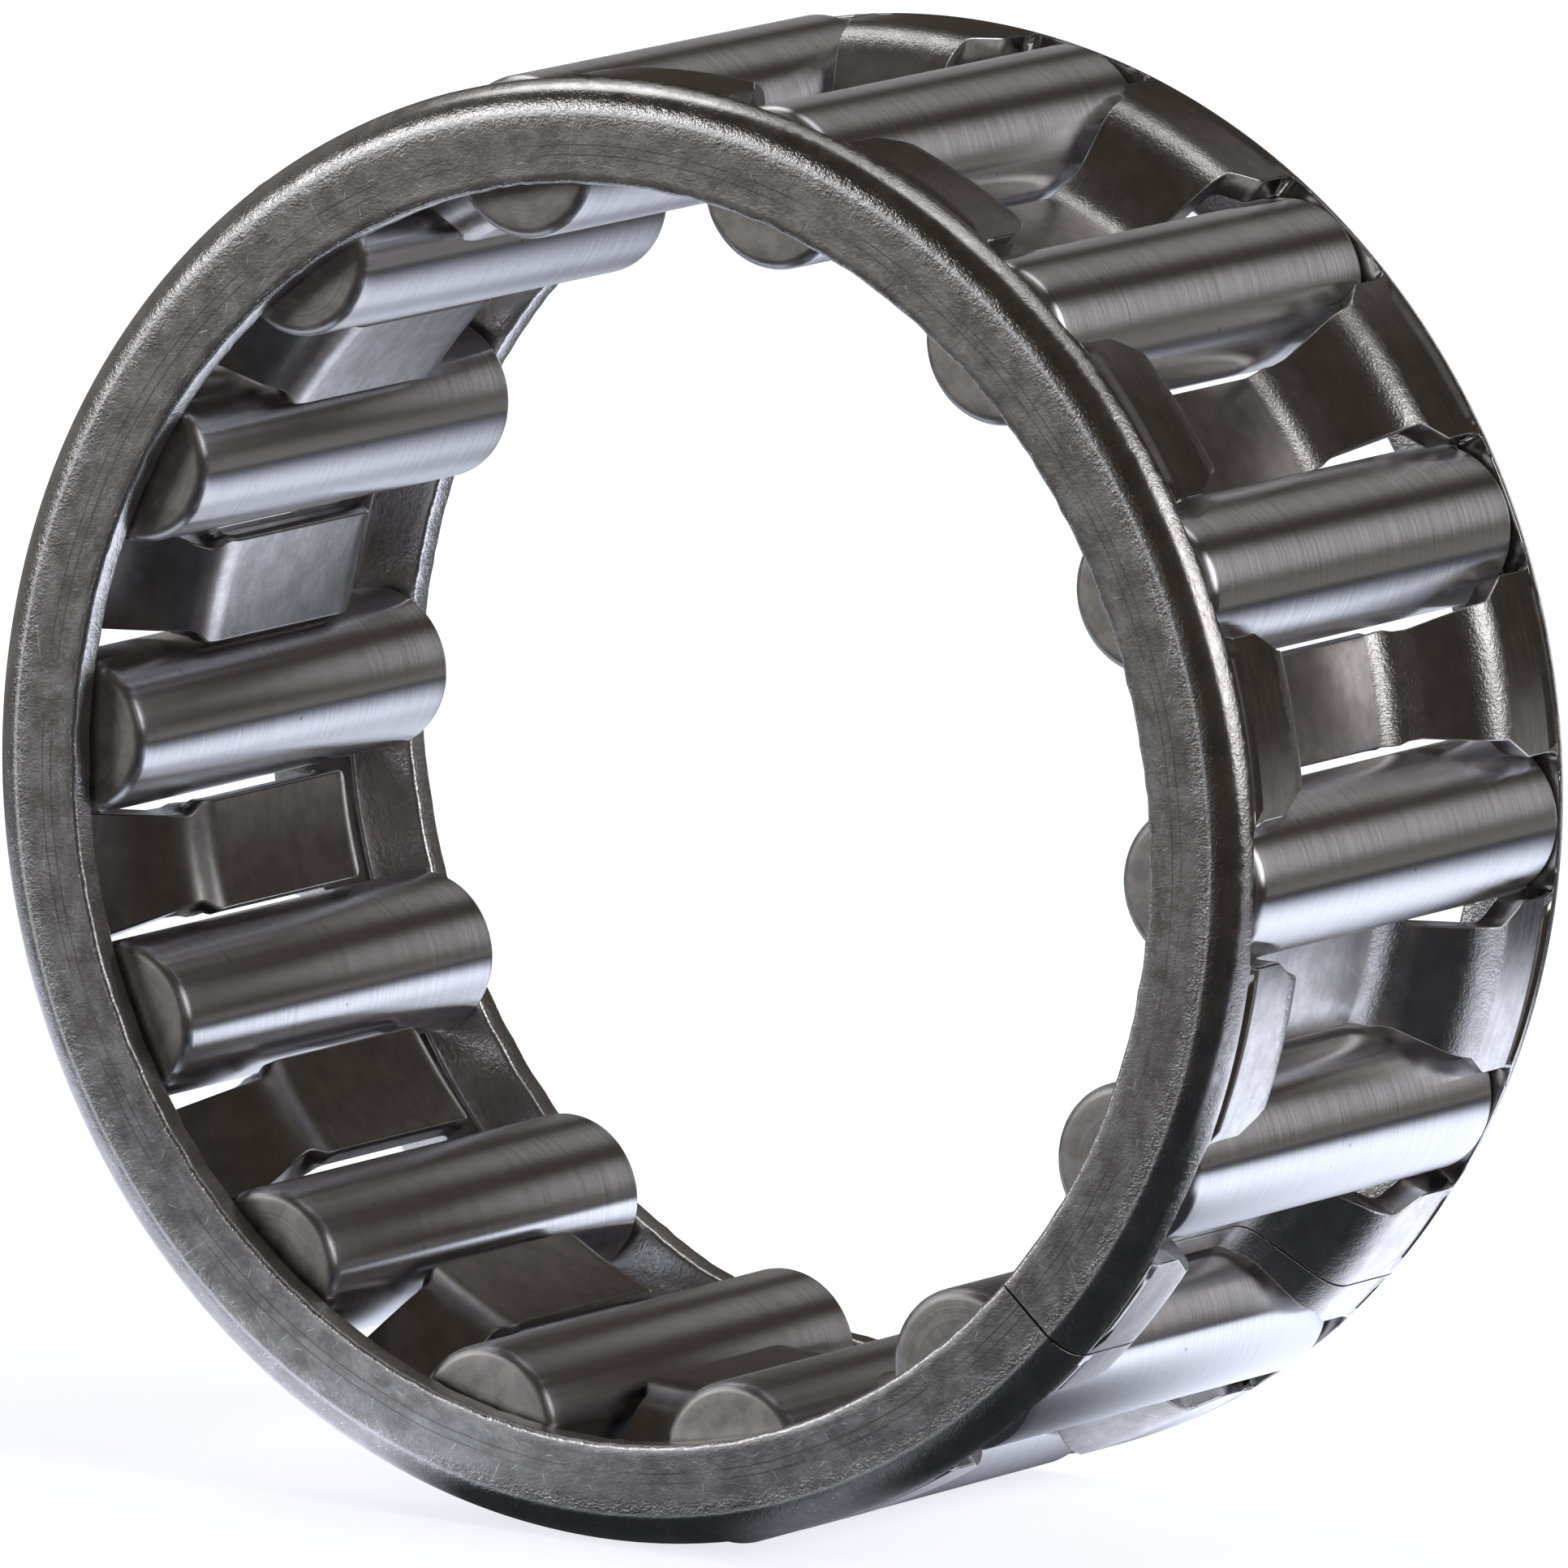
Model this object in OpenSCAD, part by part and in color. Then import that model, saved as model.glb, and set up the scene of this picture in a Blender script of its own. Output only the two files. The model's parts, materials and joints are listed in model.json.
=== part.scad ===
// Radial needle roller and cage assembly: one row of needle rollers held in a
// one-piece cage that is pressed from sheet steel to an M-shaped section.
// It has no rings of its own: the rollers run directly on a shaft and in a
// housing bore. Millimetres, bearing axis along +Y, +Z up, origin at the centre.

/* [Bearing] */
// Diameter of the shaft raceway that the rollers run on
shaft_d = 35; // [34:0.5:40]
// Number of needle rollers
roller_count = 14; // [10:1:16]
// Width of the cage over its two flanges
cage_w = 19.7; // [19.6:0.1:21]

/* [Rollers] */
// Diameter of each roller
roller_d = 5; // [4.9:0.05:5.1]
// Length of each roller over its flat ends
roller_l = 17.4; // [17.1:0.05:17.4]
// Radius of the rounded edge at each end of a roller
roller_edge_r = 0.35; // [0.2:0.05:0.6]

/* [Cage section] */
// Thickness of the cage's sheet steel
sheet_t = 0.95; // [0.8:0.05:0.95]
// How far the rollers stand out beyond the cage's outer face
roller_outside = 0.15; // [0.1:0.05:0.3]
// How far the rollers stand in beyond the inner face of the centre section
roller_inside = 0.9; // [0.85:0.05:1]
// Radial gap between the shaft raceway and the edge of each flange
flange_gap = 1.7; // [1.2:0.05:2.2]
// Outer radius of the corner between a flange and a land
corner_r = 1.1; // [1:0.05:1.3]
// Outer radius of the bend between a land and its slope
land_bend_r = 1.3; // [1:0.05:1.5]
// Outer radius of the bend between a slope and the centre section
centre_bend_r = 1.1; // [0.5:0.05:1.4]
// Distance from mid-width to where the lines of a slope and its land cross
slope_outer_y = 5.85; // [5.6:0.05:6]
// Distance from mid-width to where the lines of a slope and the centre section cross
slope_inner_y = 4.2; // [4:0.05:4.3]

/* [Pockets] */
// Play between a roller's end and the end of its pocket
end_play = 0.15; // [0.1:0.01:0.2]
// Width of a pocket between the outer retaining lips
lip_gap = 4.4; // [4.36:0.02:4.6]
// Width of a pocket along the two slopes
slope_gap = 5.7; // [5.4:0.05:5.9]
// Width of a pocket between the inner retaining lips of the centre section
inner_lip_gap = 4.9; // [4.8:0.02:4.96]
// Width of a pocket in the centre section above the inner retaining lips
centre_gap = 5.2; // [5.1:0.02:5.3]
// Radius of the rounded corners at the ends of a pocket
pocket_corner_r = 0.35; // [0.2:0.05:0.6]
// Distance from mid-width to the full width of the outer lips
lip_y = 7.12; // [6.9:0.02:7.2]
// Axial length of the chamfer at the end of each outer lip
lip_chamfer = 1.05; // [0.6:0.05:1.2]
// Distance from mid-width to the full width of the inner lips
centre_lip_y = 3.9; // [3.6:0.05:3.95]
// Axial length of the chamfer at each end of the inner lips
centre_chamfer = 0.45; // [0.3:0.05:0.5]

/* [Seam] */
// Place of the butt seam's bar, in roller pitches from the first roller
seam_bar = -1.5; // [-6.5:1:5.5]
// Angle between the seam and the middle of its bar, in degrees
seam_shift = -2.2; // [-3:0.1:3]
// Width of the closed butt seam
seam_w = 0.06; // [0.04:0.01:0.1]

/* [Hidden] */
shaft_r = shaft_d / 2;
roller_r = roller_d / 2;
pitch_r = shaft_r + roller_r;
pitch_angle = 360 / roller_count;
cage_r = pitch_r + roller_r - roller_outside;
land_r = cage_r - sheet_t / 2;
centre_r = shaft_r + roller_inside + sheet_t / 2;
flange_r = shaft_r + flange_gap;
flange_y = cage_w / 2 - sheet_t / 2;
pocket_y = roller_l / 2 + end_play;
cut_reach = 1;
cut_h = cage_r + cut_reach - shaft_r;
relief_y = centre_lip_y + centre_chamfer / 2;
bend_steps = 4;
edge_steps = 4;
cage_colour = [0.33, 0.31, 0.30];
roller_colour = [0.52, 0.52, 0.55];
$fn = 96;

function roller_name(i) = str("roller_", i < 10 ? "0" : "", i);

function unit(v) = v / norm(v);
function left_of(v) = [-v[1], v[0]];
function turned(v, a) = [v[0] * cos(a) - v[1] * sin(a), v[0] * sin(a) + v[1] * cos(a)];
function backward(pts) = [for (i = [len(pts) - 1 : -1 : 0]) pts[i]];
function scaled(pts, sx, sy) = [for (p = pts) [p[0] * sx, p[1] * sy]];

// Quarter circle about centre c, from the +X side round to the +Y side.
function quarter_round(c, r) =
    [for (k = [0 : edge_steps]) c + r * turned([1, 0], 90 * k / edge_steps)];

// Round bend of radius r at corner b of the path a-b-c, drawn at a distance off
// to the left of the path.
function bend(a, b, c, r, off) =
    let (d1 = unit(b - a), d2 = unit(c - b))
    let (side = sign(cross(d1, d2)), turn = acos(d1 * d2))
    let (start = b - d1 * r * tan(turn / 2))
    let (centre = start + side * r * left_of(d1))
    let (arm = (r - side * off) * side)
    [for (k = [0 : bend_steps])
        centre - arm * left_of(turned(d1, side * turn * k / bend_steps))];

// One face of half the cage's section, from the centre section out to the edge of
// the flange, at a distance off towards the shaft from the middle of the sheet.
function half_face(off) =
    let (middle = [centre_r, 0], foot = [centre_r, slope_inner_y])
    let (crest = [land_r, slope_outer_y], corner = [land_r, flange_y])
    let (edge = [flange_r, flange_y])
    concat(
        bend(middle, foot, crest, centre_bend_r + sheet_t / 2, off),
        bend(foot, crest, corner, land_bend_r - sheet_t / 2, off),
        bend(crest, corner, edge, corner_r - sheet_t / 2, off),
        [edge - [0, off]]);

// Section of the pressed sheet: flange, land, slope, centre section and mirror image.
module cage_section() {
    outer = half_face(-sheet_t / 2);
    inner = half_face(sheet_t / 2);
    polygon(concat(
        backward(scaled(outer, 1, -1)), outer,
        backward(inner), scaled(inner, 1, -1)));
}

// One corner's share of a pocket's outline, from the inner lip to the pocket's end.
function pocket_quarter() =
    concat(
        [[inner_lip_gap / 2, centre_lip_y],
         [slope_gap / 2, centre_lip_y + centre_chamfer],
         [slope_gap / 2, lip_y - lip_chamfer],
         [lip_gap / 2, lip_y]],
        quarter_round(
            [lip_gap / 2 - pocket_corner_r, pocket_y - pocket_corner_r], pocket_corner_r));

// Window of a pocket: one outline with retaining lips, through the whole sheet.
module pocket_window() {
    quarter = pocket_quarter();
    linear_extrude(cut_h)
        polygon(concat(
            quarter, backward(scaled(quarter, -1, 1)),
            scaled(quarter, -1, -1), backward(scaled(quarter, 1, -1))));
}

// Relief that leaves the inner lips only in the inner half of the sheet, so that a
// loose roller can drop a little towards the shaft but not fall through.
module lip_relief() {
    translate([-centre_gap / 2, -relief_y, centre_r - shaft_r])
        cube([centre_gap, 2 * relief_y, cut_h]);
}

// Cut for one pocket, along the radius at an angle.
module pocket_cut(angle) {
    rotate([0, 90 - angle, 0])
        translate([0, 0, shaft_r]) {
            pocket_window();
            lip_relief();
        }
}

// Cut for the butt seam where the two ends of the rolled strip meet.
module seam_cut() {
    rotate([0, -(seam_bar * pitch_angle + seam_shift), 0])
        translate([shaft_r, -cage_w / 2 - cut_reach, -seam_w / 2])
            cube([cut_h, cage_w + 2 * cut_reach, seam_w]);
}

module cage() {
    color(cage_colour)
        difference() {
            rotate([-90, 0, 0])
                rotate_extrude()
                    cage_section();
            for (i = [1 : roller_count])
                pocket_cut((i - 1) * pitch_angle);
            seam_cut();
        }
}

// Half section of a roller: a plain cylinder with flat ends and rounded edges.
module roller_section() {
    round_part = quarter_round(
        [roller_r - roller_edge_r, roller_l / 2 - roller_edge_r], roller_edge_r);
    polygon(concat(
        [[0, -roller_l / 2]], backward(scaled(round_part, 1, -1)),
        round_part, [[0, roller_l / 2]]));
}

// Needle roller number i, counted from +X towards +Z.
module roller(i) {
    color(roller_colour)
        rotate([0, -(i - 1) * pitch_angle, 0])
            translate([pitch_r, 0, 0])
                rotate([-90, 0, 0])
                    rotate_extrude()
                        roller_section();
}

cage();
for (i = [1 : roller_count])
    roller(i);
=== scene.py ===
import json
import math

import bmesh
import bpy
import numpy as np
from mathutils import Matrix, Vector, noise


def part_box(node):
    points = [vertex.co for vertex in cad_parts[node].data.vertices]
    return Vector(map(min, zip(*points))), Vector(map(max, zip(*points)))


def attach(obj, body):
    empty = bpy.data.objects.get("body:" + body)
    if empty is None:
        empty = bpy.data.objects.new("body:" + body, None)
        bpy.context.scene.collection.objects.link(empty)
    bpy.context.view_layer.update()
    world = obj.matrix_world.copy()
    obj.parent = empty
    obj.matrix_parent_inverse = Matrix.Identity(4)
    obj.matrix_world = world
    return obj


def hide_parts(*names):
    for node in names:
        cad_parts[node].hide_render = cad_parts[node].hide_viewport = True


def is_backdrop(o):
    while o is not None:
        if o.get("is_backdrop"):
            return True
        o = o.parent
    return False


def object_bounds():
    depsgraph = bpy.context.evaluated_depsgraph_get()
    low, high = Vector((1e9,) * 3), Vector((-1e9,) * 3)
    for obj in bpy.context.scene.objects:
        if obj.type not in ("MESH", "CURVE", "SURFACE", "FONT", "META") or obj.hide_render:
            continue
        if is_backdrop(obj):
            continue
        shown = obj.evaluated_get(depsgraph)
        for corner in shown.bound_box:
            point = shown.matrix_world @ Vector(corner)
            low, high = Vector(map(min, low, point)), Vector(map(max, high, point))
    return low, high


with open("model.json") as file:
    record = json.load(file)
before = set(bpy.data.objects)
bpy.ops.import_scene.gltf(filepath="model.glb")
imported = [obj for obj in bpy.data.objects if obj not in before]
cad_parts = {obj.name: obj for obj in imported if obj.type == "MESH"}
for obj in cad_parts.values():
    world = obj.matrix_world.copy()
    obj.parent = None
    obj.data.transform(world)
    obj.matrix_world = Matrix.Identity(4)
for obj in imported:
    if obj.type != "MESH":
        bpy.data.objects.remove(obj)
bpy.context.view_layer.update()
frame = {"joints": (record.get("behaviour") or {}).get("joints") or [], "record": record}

# Needle roller and cage assembly. The bearing's axis is Y, +Z is up, and the front is at -Y.
# Lengths are in mm and are turned into metres where the meshes are made.
MM = 0.001
RIGHT_ANGLE = math.pi / 2
FULL_TURN = 2 * math.pi
mounts = {m["name"]: m for m in frame["record"]["mounts"]}
joints = {j["child"]: j for j in frame["joints"]}

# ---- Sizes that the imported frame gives
cage_low, cage_high = (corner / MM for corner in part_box("cage"))
roller_low, roller_high = (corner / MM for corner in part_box("roller_01"))
COUNT = len(joints)
PITCH = FULL_TURN / COUNT
SHAFT_R = mounts["shaft_raceway"]["dims"]["r_mm"]
ROLLER_R = (roller_high.z - roller_low.z) / 2
ROLLER_L = roller_high.y - roller_low.y
CAGE_R = cage_high.z
CAGE_W = cage_high.y - cage_low.y

# ---- Sizes of the cage's pressed sheet. A name in _Y is a distance from mid-width.
SHEET = 0.95
ROLLER_INSIDE = 0.9
FLANGE_GAP = 1.7
CORNER_R = 1.1
LAND_BEND_R = 1.3
CENTRE_BEND_R = 1.1
SLOPE_OUTER_Y = 5.85
SLOPE_INNER_Y = 4.2
FLANGE_EDGE_R = 0.15
LAND_R = CAGE_R - SHEET / 2
CENTRE_R = SHAFT_R + ROLLER_INSIDE + SHEET / 2
FLANGE_R = SHAFT_R + FLANGE_GAP
FLANGE_Y = (CAGE_W - SHEET) / 2
CORNER_ARC_R = CORNER_R - SHEET / 2
CORNER_ARC = np.array([LAND_R - CORNER_ARC_R, FLANGE_Y - CORNER_ARC_R])

# ---- Sizes of the pockets and their retaining lips
END_PLAY = 0.15
LIP_GAP = 4.4
SLOPE_GAP = 5.7
INNER_LIP_GAP = 4.9
CENTRE_GAP = 5.2
POCKET_CORNER_R = 0.35
LIP_Y = 7.12
LIP_CHAMFER = 1.05
CENTRE_LIP_Y = 3.9
CENTRE_CHAMFER = 0.45
POCKET_Y = ROLLER_L / 2 + END_PLAY
RELIEF_Y = CENTRE_LIP_Y + CENTRE_CHAMFER / 2
ROUND_Y = POCKET_Y - POCKET_CORNER_R
END_HALF = LIP_GAP / 2 - POCKET_CORNER_R

# ---- The butt seam, and the bevels on the cut edges
SEAM_BAR = -1.5 * PITCH
SEAM_SHIFT = math.radians(-2.2)
SEAM_W = 0.06
EDGE_BEVEL = 0.07
SEAM_BEVEL_SHARE = 0.3

# ---- How far the sheared edge of a flange wanders, and the waves that it does so in, each with
# its frequency per mm and its share
EDGE_UNEVEN = 0.045
EDGE_REACH = 2.2 * FLANGE_EDGE_R
EDGE_WAVES = ((1.7, 1.0), (4.1, 0.6))

# ---- How finely the cage's mesh is divided. Pairs are for the outer and the inner face.
BAR_COLUMNS = 14
END_COLUMNS = 12
CENTRE_STEPS = 4
FOLD_STEPS = 12
SLOPE_STEPS = 5
BEND_STEPS = 10
LAND_STEPS = 4
LIP_STEPS = 5
ROUND_STEPS = 6
CORNER_STEPS = (12, 3)
FLANGE_STEPS = (9, 6)
EDGE_STEPS = (4, 3)
WALL_DEPTHS = (0.3, 0.48, 0.52, 0.8)
BEVEL_SEGMENTS = 2


# ---- Section of the sheet, as (radius, y) points
def unit(v):
    return v / np.hypot(*v)


def left_of(v):
    return np.array([-v[1], v[0]])


def turned(v, angle):
    c, s = math.cos(angle), math.sin(angle)
    return np.array([v[0] * c - v[1] * s, v[0] * s + v[1] * c])


def on_circle(angle):
    return np.array([math.cos(angle), math.sin(angle)])


def run(a, b, steps):
    """Points from a towards b, without b itself."""
    return [a + (b - a) * k / steps for k in range(steps)]


def bend(a, b, c, radius, off, steps):
    """Round bend at corner b of the path a-b-c, drawn at a distance off to its left."""
    d1, d2 = unit(b - a), unit(c - b)
    side = math.copysign(1, d1[0] * d2[1] - d1[1] * d2[0])
    turn = math.acos(d1 @ d2)
    centre = b - d1 * radius * math.tan(turn / 2) + side * radius * left_of(d1)
    arm = (radius - side * off) * side
    angles = [side * turn * k / steps for k in range(steps + 1)]
    return [centre - arm * left_of(turned(d1, angle)) for angle in angles]


def corner_point(off, angle):
    """Point on the corner bend; angle runs from 0 on the land to a right angle on the flange."""
    return CORNER_ARC + (CORNER_ARC_R - off) * on_circle(angle)


def pocket_round(off):
    """Points over the rounded end of a pocket, which reaches a little way round the corner."""
    points = []
    for k in range(ROUND_STEPS + 1):
        y = ROUND_Y + POCKET_CORNER_R * math.sin(RIGHT_ANGLE * k / ROUND_STEPS)
        rise = max(0.0, y - CORNER_ARC[1])
        points.append(corner_point(off, math.asin(rise / (CORNER_ARC_R - off))))
    return points


def pocket_face(off):
    """One face of the sheet between the two ends of a pocket, from one end to the other."""
    middle, foot = np.array([CENTRE_R, 0.0]), np.array([CENTRE_R, SLOPE_INNER_Y])
    crest, corner = np.array([LAND_R, SLOPE_OUTER_Y]), np.array([LAND_R, FLANGE_Y])
    low = bend(middle, foot, crest, CENTRE_BEND_R + SHEET / 2, off, FOLD_STEPS)
    high = bend(foot, crest, corner, LAND_BEND_R - SHEET / 2, off, BEND_STEPS)
    lip = np.array([LAND_R - off, LIP_Y])
    lip_end = np.array([LAND_R - off, ROUND_Y])
    points = run(middle - [off, 0], low[0], CENTRE_STEPS) + low[:-1]
    points += run(low[-1], high[0], SLOPE_STEPS) + high[:-1]
    points += run(high[-1], lip, LAND_STEPS) + run(lip, lip_end, LIP_STEPS)
    half = np.array(points + pocket_round(off))
    return np.vstack([half[:0:-1] * [1, -1], half])


def corner_face(off, steps, flange_steps):
    """The rest of one face, from just past the pocket's end to the start of the flange's edge."""
    start = math.asin((POCKET_Y - CORNER_ARC[1]) / (CORNER_ARC_R - off))
    turn = RIGHT_ANGLE - start
    points = [corner_point(off, start + turn * k / steps) for k in range(1, steps)]
    top = corner_point(off, RIGHT_ANGLE)
    edge = np.array([FLANGE_R + FLANGE_EDGE_R, top[1]])
    return points + run(top, edge, flange_steps)


def edge_round(centre, start, steps):
    """Quarter circle of the flange's rounded edge, from one angle on."""
    angles = [start + RIGHT_ANGLE * k / steps for k in range(steps + 1)]
    return [centre + FLANGE_EDGE_R * on_circle(angle) for angle in angles]


def flange_section():
    """Section of a flange with its corner, from the pocket's end outside to the one inside."""
    edge_r = FLANGE_R + FLANGE_EDGE_R
    outer_centre = np.array([edge_r, FLANGE_Y + SHEET / 2 - FLANGE_EDGE_R])
    inner_centre = np.array([edge_r, FLANGE_Y - SHEET / 2 + FLANGE_EDGE_R])
    points = corner_face(-SHEET / 2, CORNER_STEPS[0], FLANGE_STEPS[0])
    points += edge_round(outer_centre, RIGHT_ANGLE, EDGE_STEPS[0])
    points += edge_round(inner_centre, math.pi, EDGE_STEPS[1])
    points += corner_face(SHEET / 2, CORNER_STEPS[1], FLANGE_STEPS[1])[::-1]
    return np.array(points)


def lengths(points):
    """Distance along a path of points, from its first point."""
    steps = np.hypot(*np.diff(points, axis=0).T)
    return np.concatenate([[0], np.cumsum(steps)])


def from_middle(points):
    """Distance along a path of points, from the middle of the path."""
    distance = lengths(points)
    return distance - distance[-1] / 2


def half_width(y, outside):
    """Half the width of a pocket at a distance y from mid-width, in the outer or inner half."""
    y = np.abs(y)
    chamfer_ends = [CENTRE_LIP_Y, CENTRE_LIP_Y + CENTRE_CHAMFER, LIP_Y - LIP_CHAMFER, LIP_Y]
    width = np.interp(y, chamfer_ends, [INNER_LIP_GAP, SLOPE_GAP, SLOPE_GAP, LIP_GAP]) / 2
    if outside:
        width = np.where(y < RELIEF_Y, np.maximum(width, CENTRE_GAP / 2), width)
    drop = np.sqrt(np.clip(POCKET_CORNER_R ** 2 - (y - ROUND_Y) ** 2, 0, None))
    return np.where(y > ROUND_Y, END_HALF + drop, width)


# ---- The cage's mesh. Its parts are kept by side of the sheet and by end of the pockets.
OUTER, INNER = True, False
FRONT, REAR = 0, -1
face_points = {OUTER: pocket_face(-SHEET / 2), INNER: pocket_face(SHEET / 2)}
face_along = {side: from_middle(points) for side, points in face_points.items()}
face_depth = {OUTER: 0.0, INNER: SHEET}
across_end = np.linspace(-END_HALF, END_HALF, END_COLUMNS + 1)[1:-1]


class Sheet:
    """Vertices and faces of bent sheet, with each vertex's place on the sheet when flat."""

    def __init__(self):
        self.points, self.flat, self.faces, self.edges = [], [], [], {}
        self.count = 0
        self.bars = {OUTER: [], INNER: []}
        self.ends = {}
        self.strips = {}

    def add(self, r, y, angle, along, depth):
        """Adds one vertex for each entry of the arrays and returns their numbers."""
        r, y, angle, along, depth = np.broadcast_arrays(r, y, angle, along, depth)
        place = np.stack([r * np.cos(angle), y, r * np.sin(angle)], -1)
        around = (angle - SEAM_BAR - SEAM_SHIFT) * CAGE_R
        self.points.append(place.reshape(-1, 3))
        self.flat.append(np.stack([around, along, depth], -1).reshape(-1, 3))
        first = self.count
        self.count += r.size
        return np.arange(first, self.count).reshape(r.shape)

    def quads(self, grid, closed=False):
        """One face for each cell of a grid of vertex numbers; closed joins the last row on."""
        rows = np.vstack([grid, grid[:1]]) if closed else grid
        cells = np.stack([rows[:-1, :-1], rows[1:, :-1], rows[1:, 1:], rows[:-1, 1:]], -1)
        self.faces += cells.reshape(-1, 4).tolist()

    def crease(self, numbers, weight=1.0):
        """Marks the edges along a row of vertex numbers as sharp ones to bevel."""
        for pair in zip(numbers[:-1].tolist(), numbers[1:].tolist()):
            self.edges[tuple(sorted(pair))] = weight


def pocket_angle(pocket):
    return SEAM_BAR + (pocket + 0.5) * PITCH


def bar_angles(bar, half):
    """Angles across a bar from one pocket to the next; the seam cuts the first and last bar."""
    low, high = -half, half
    slit = SEAM_W / 2 / CAGE_R
    columns = BAR_COLUMNS
    if bar == 0:
        low, columns = np.full_like(half, SEAM_SHIFT + slit), BAR_COLUMNS // 2
    if bar == COUNT:
        high, columns = np.full_like(half, SEAM_SHIFT - slit), BAR_COLUMNS // 2
    share = np.linspace(0, 1, columns + 1)
    return SEAM_BAR + bar * PITCH + low[:, None] + (high - low)[:, None] * share


def add_bars(sheet, side):
    """One face of all bars; each bar is kept as its vertex numbers and their angles."""
    r, y = face_points[side].T
    half = PITCH / 2 - np.arcsin(half_width(y, side) / r)
    along = face_along[side][:, None]
    for bar in range(COUNT + 1):
        angle = bar_angles(bar, half)
        numbers = sheet.add(r[:, None], y[:, None], angle, along, face_depth[side])
        sheet.quads(numbers)
        sheet.bars[side].append((numbers, angle))


def add_pocket_ends(sheet, side, end):
    """Edge vertices along one end of each pocket."""
    r, y = face_points[side][end]
    rows = []
    for pocket in range(COUNT):
        angle = pocket_angle(pocket) + np.arcsin(across_end / r)
        rows.append((sheet.add(r, y, angle, face_along[side][end], face_depth[side]), angle))
    sheet.ends[side, end] = rows


def ring_row(bars, ends, end):
    """The vertices of bars and pocket ends that make one full turn at the end of the pockets."""
    numbers, angles = [], []
    for k, (grid, angle) in enumerate(bars):
        numbers.append(grid[end])
        angles.append(angle[end])
        if k < COUNT:
            numbers.append(ends[k][0])
            angles.append(ends[k][1])
    return np.concatenate(numbers), np.concatenate(angles)


def sheared_edge(section, angle, end):
    """Small uneven shift in radius of the flange's edge, as shears leave it."""
    near = np.clip((FLANGE_R + EDGE_REACH - section[:, :1]) / FLANGE_EDGE_R, 0, 1)
    turn = angle[len(section) // 2]
    places = np.stack([np.cos(turn), np.sin(turn), np.full_like(turn, end)], -1) * FLANGE_R
    rough = [sum(share * noise.noise(Vector(p) * rate) for rate, share in EDGE_WAVES) for p in places]
    return near * np.array(rough) * EDGE_UNEVEN


def add_flange(sheet, end):
    """A flange with its corner, all the way round, from the outer face to the inner one."""
    sign = -1 if end == FRONT else 1
    section = flange_section()
    first = ring_row(sheet.bars[OUTER], sheet.ends[OUTER, end], end)
    last = ring_row(sheet.bars[INNER], sheet.ends[INNER, end], end)
    path = lengths(np.vstack([face_points[OUTER][-1], section, face_points[INNER][-1]]))
    share = (path / path[-1])[1:-1, None]
    mean = (first[1] + last[1]) / 2
    own = np.where(share < 0.5, first[1], last[1])
    angle = mean + (own - mean) * np.abs(2 * share - 1)
    depth = np.interp(share, [0, 0.45, 0.55, 1], [0, 0, SHEET, SHEET])
    along = (face_along[OUTER][-1] + path[1:-1, None]) * sign
    radius = section[:, :1] + sheared_edge(section, angle, end)
    strip = sheet.add(radius, section[:, 1:] * sign, angle, along, depth)
    sheet.strips[end] = np.vstack([first[0], strip, last[0]])
    sheet.quads(sheet.strips[end])


def pocket_loop(sheet, side, pocket):
    """Vertex numbers all round a pocket's edge on one face of the sheet."""
    left = sheet.bars[side][pocket][0][:, -1]
    right = sheet.bars[side][pocket + 1][0][:, 0]
    far, near = sheet.ends[side, REAR][pocket][0], sheet.ends[side, FRONT][pocket][0]
    return np.concatenate([left, far, right[::-1], near[::-1]])


def add_pocket_wall(sheet, pocket):
    """Wall of one pocket, all the way round, from the outer face to the inner one."""
    loops = [pocket_loop(sheet, side, pocket) for side in (OUTER, INNER)]
    rings = []
    for share in WALL_DEPTHS:
        r, y = (face_points[OUTER] * (1 - share) + face_points[INNER] * share).T
        path = face_along[OUTER] * (1 - share) + face_along[INNER] * share
        side = np.arcsin(half_width(y, share < 0.5) / r)
        end = np.arcsin(across_end / r[-1])
        angle = np.concatenate([-side, end, side[::-1], end[::-1]])
        r, y, path = (np.concatenate([v, np.full_like(end, v[-1]), v[::-1], np.full_like(end, v[0])])
                      for v in (r, y, path))
        rings.append(sheet.add(r, y, pocket_angle(pocket) + angle, path, share * SHEET))
    sheet.quads(np.stack([loops[0], *rings, loops[1]], 1), closed=True)
    for loop in loops:
        sheet.crease(np.append(loop, loop[0]))


def add_seam_end(sheet, bar, column):
    """Cut face of the strip where its two ends meet."""
    outer, inner = (sheet.bars[side][bar][0][:, column] for side in (OUTER, INNER))
    sheet.quads(np.stack([outer, inner], 1))
    for end in (FRONT, REAR):
        sheet.faces.append(sheet.strips[end][:, column].tolist())
        sheet.crease(sheet.strips[end][:, column], SEAM_BEVEL_SHARE)
    sheet.crease(outer, SEAM_BEVEL_SHARE)
    sheet.crease(inner, SEAM_BEVEL_SHARE)


def build_cage():
    sheet = Sheet()
    for side in (OUTER, INNER):
        add_bars(sheet, side)
    for side in (OUTER, INNER):
        for end in (FRONT, REAR):
            add_pocket_ends(sheet, side, end)
    for end in (FRONT, REAR):
        add_flange(sheet, end)
    for pocket in range(COUNT):
        add_pocket_wall(sheet, pocket)
    for bar, column in ((0, 0), (COUNT, -1)):
        add_seam_end(sheet, bar, column)
    return sheet


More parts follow.
